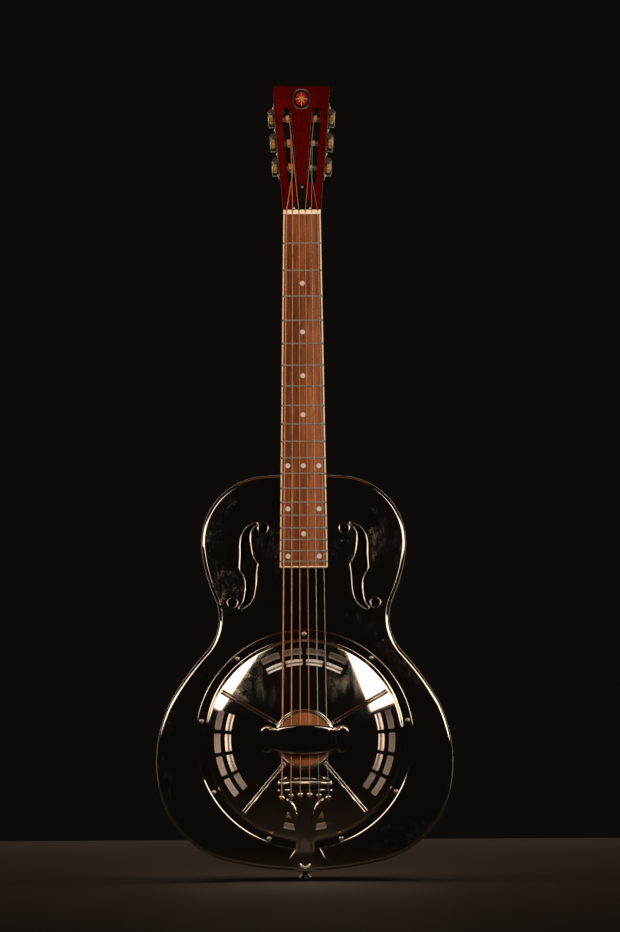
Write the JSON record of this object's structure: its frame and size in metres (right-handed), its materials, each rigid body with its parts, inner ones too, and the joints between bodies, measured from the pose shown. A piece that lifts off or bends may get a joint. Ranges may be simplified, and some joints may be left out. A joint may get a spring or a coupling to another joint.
{
  "type": "resonator guitar",
  "caption": "Metal-body resonator guitar with round coverplate, palm rest, tailpiece, bound fretboard and slotted headstock with geared tuners.",
  "frame": {"origin": "centre of the end pin's hole in the tail, halfway through the body's depth", "axes": "+Z along the neck toward the headstock, -Y toward the front (the strings), +X toward the treble side"},
  "size_m": [0.3588, 0.114, 0.9945],
  "materials": {
    "nickel_body": "mirror-bright nickel plate",
    "nickel_trim": "mirror-bright nickel plate",
    "plain_steel": "bare sheet steel",
    "spun_aluminium": "spun, fine turning lines",
    "maple": "oiled maple",
    "screw_steel": "nickelled screw heads",
    "plain_mahogany": "unfinished",
    "red_mahogany": "glossy red-brown lacquer",
    "rosewood": "oiled, straight grain",
    "ivory_plastic": "polished ivory-coloured binding",
    "fret_wire": "polished fret wire",
    "pearl": "pearl",
    "bone": "polished bone",
    "brass": "machined brass",
    "black_plastic": "black laminate",
    "badge_enamel": null,
    "tuner_nickel": "nickel plate",
    "wound_bronze": "bronze winding",
    "plain_string": "plain steel wire"
  },
  "bodies": {
    "guitar": {"body_top": "nickel_body", "body_sides": "nickel_body", "body_back": "nickel_body", "soundwell": "plain_steel", "cone": "spun_aluminium", "biscuit": "maple", "biscuit_screw": "screw_steel", "saddle": "maple", "coverplate": "nickel_trim", "palm_rest": "nickel_trim", "coverplate_screws": "screw_steel", "tailpiece": "nickel_trim", "end_pin": "nickel_trim", "neck_stick": "plain_mahogany", "stick_supports": "plain_mahogany", "neck": "red_mahogany", "headstock": "red_mahogany", "fretboard": "rosewood", "fretboard_binding": "ivory_plastic", "frets": "fret_wire", "position_dots": "pearl", "nut": "bone", "truss_rod": "screw_steel", "truss_rod_cover": "black_plastic", "truss_cover_screws": "screw_steel", "headstock_badge": "badge_enamel", "tuner_plate_left": "tuner_nickel", "tuner_plate_right": "tuner_nickel", "tuner_plate_screws": "screw_steel", "string_e2": "wound_bronze", "string_a2": "wound_bronze", "string_d3": "wound_bronze", "string_g3": "wound_bronze", "string_b3": "plain_string", "string_e4": "plain_string"},
    "tuner_key_e2": {"worm_shaft_e2": "tuner_nickel", "tuner_button_e2": "tuner_nickel"},
    "tuner_post_e2": {"string_roller_e2": "tuner_nickel", "tuner_gear_e2": "brass"},
    "tuner_key_a2": {"worm_shaft_a2": "tuner_nickel", "tuner_button_a2": "tuner_nickel"},
    "tuner_post_a2": {"string_roller_a2": "tuner_nickel", "tuner_gear_a2": "brass"},
    "tuner_key_d3": {"worm_shaft_d3": "tuner_nickel", "tuner_button_d3": "tuner_nickel"},
    "tuner_post_d3": {"string_roller_d3": "tuner_nickel", "tuner_gear_d3": "brass"},
    "tuner_key_g3": {"worm_shaft_g3": "tuner_nickel", "tuner_button_g3": "tuner_nickel"},
    "tuner_post_g3": {"string_roller_g3": "tuner_nickel", "tuner_gear_g3": "brass"},
    "tuner_key_b3": {"worm_shaft_b3": "tuner_nickel", "tuner_button_b3": "tuner_nickel"},
    "tuner_post_b3": {"string_roller_b3": "tuner_nickel", "tuner_gear_b3": "brass"},
    "tuner_key_e4": {"worm_shaft_e4": "tuner_nickel", "tuner_button_e4": "tuner_nickel"},
    "tuner_post_e4": {"string_roller_e4": "tuner_nickel", "tuner_gear_e4": "brass"},
    "truss_adjuster": {"truss_rod_nut": "brass"}
  },
  "joints": [
    {"name": "key_turn_e2", "type": "hinge", "parent": "guitar", "child": "tuner_key_e2", "pos_m": [-0.0341, -0.00823, 0.87764], "axis": [0, 0.965, -0.2622], "continuous": true},
    {"name": "post_turn_e2", "type": "hinge", "parent": "guitar", "child": "tuner_post_e2", "pos_m": [-0.02791, -0.01034, 0.86989], "axis": [0.9975, 0.0186, 0.0683], "continuous": true},
    {"name": "key_turn_a2", "type": "hinge", "parent": "guitar", "child": "tuner_key_a2", "pos_m": [-0.03658, 0.00094, 0.91141], "axis": [0, 0.965, -0.2622], "continuous": true},
    {"name": "post_turn_a2", "type": "hinge", "parent": "guitar", "child": "tuner_post_a2", "pos_m": [-0.03039, -0.00116, 0.90366], "axis": [0.9975, 0.0186, 0.0683], "continuous": true},
    {"name": "key_turn_d3", "type": "hinge", "parent": "guitar", "child": "tuner_key_d3", "pos_m": [-0.03906, 0.01012, 0.94519], "axis": [0, 0.965, -0.2622], "continuous": true},
    {"name": "post_turn_d3", "type": "hinge", "parent": "guitar", "child": "tuner_post_d3", "pos_m": [-0.03288, 0.00801, 0.93744], "axis": [0.9975, 0.0186, 0.0683], "continuous": true},
    {"name": "key_turn_g3", "type": "hinge", "parent": "guitar", "child": "tuner_key_g3", "pos_m": [0.03906, 0.01012, 0.94519], "axis": [0, 0.965, -0.2622], "continuous": true},
    {"name": "post_turn_g3", "type": "hinge", "parent": "guitar", "child": "tuner_post_g3", "pos_m": [0.03288, 0.00801, 0.93744], "axis": [0.9975, -0.0186, -0.0683], "continuous": true},
    {"name": "key_turn_b3", "type": "hinge", "parent": "guitar", "child": "tuner_key_b3", "pos_m": [0.03658, 0.00094, 0.91141], "axis": [0, 0.965, -0.2622], "continuous": true},
    {"name": "post_turn_b3", "type": "hinge", "parent": "guitar", "child": "tuner_post_b3", "pos_m": [0.03039, -0.00116, 0.90366], "axis": [0.9975, -0.0186, -0.0683], "continuous": true},
    {"name": "key_turn_e4", "type": "hinge", "parent": "guitar", "child": "tuner_key_e4", "pos_m": [0.0341, -0.00823, 0.87764], "axis": [0, 0.965, -0.2622], "continuous": true},
    {"name": "post_turn_e4", "type": "hinge", "parent": "guitar", "child": "tuner_post_e4", "pos_m": [0.02791, -0.01034, 0.86989], "axis": [0.9975, -0.0186, -0.0683], "continuous": true},
    {"name": "truss_nut_turn", "type": "hinge", "parent": "guitar", "child": "truss_adjuster", "pos_m": [0, -0.02747, 0.8156], "axis": [0, 0.0209, 0.9998], "range_deg": [-180, 180]}
  ],
  "couplings": [
    {"joint": "post_turn_e2", "follows": "key_turn_e2", "ratio": 0.071429},
    {"joint": "post_turn_a2", "follows": "key_turn_a2", "ratio": 0.071429},
    {"joint": "post_turn_d3", "follows": "key_turn_d3", "ratio": 0.071429},
    {"joint": "post_turn_g3", "follows": "key_turn_g3", "ratio": 0.071429},
    {"joint": "post_turn_b3", "follows": "key_turn_b3", "ratio": 0.071429},
    {"joint": "post_turn_e4", "follows": "key_turn_e4", "ratio": 0.071429}
  ]
}
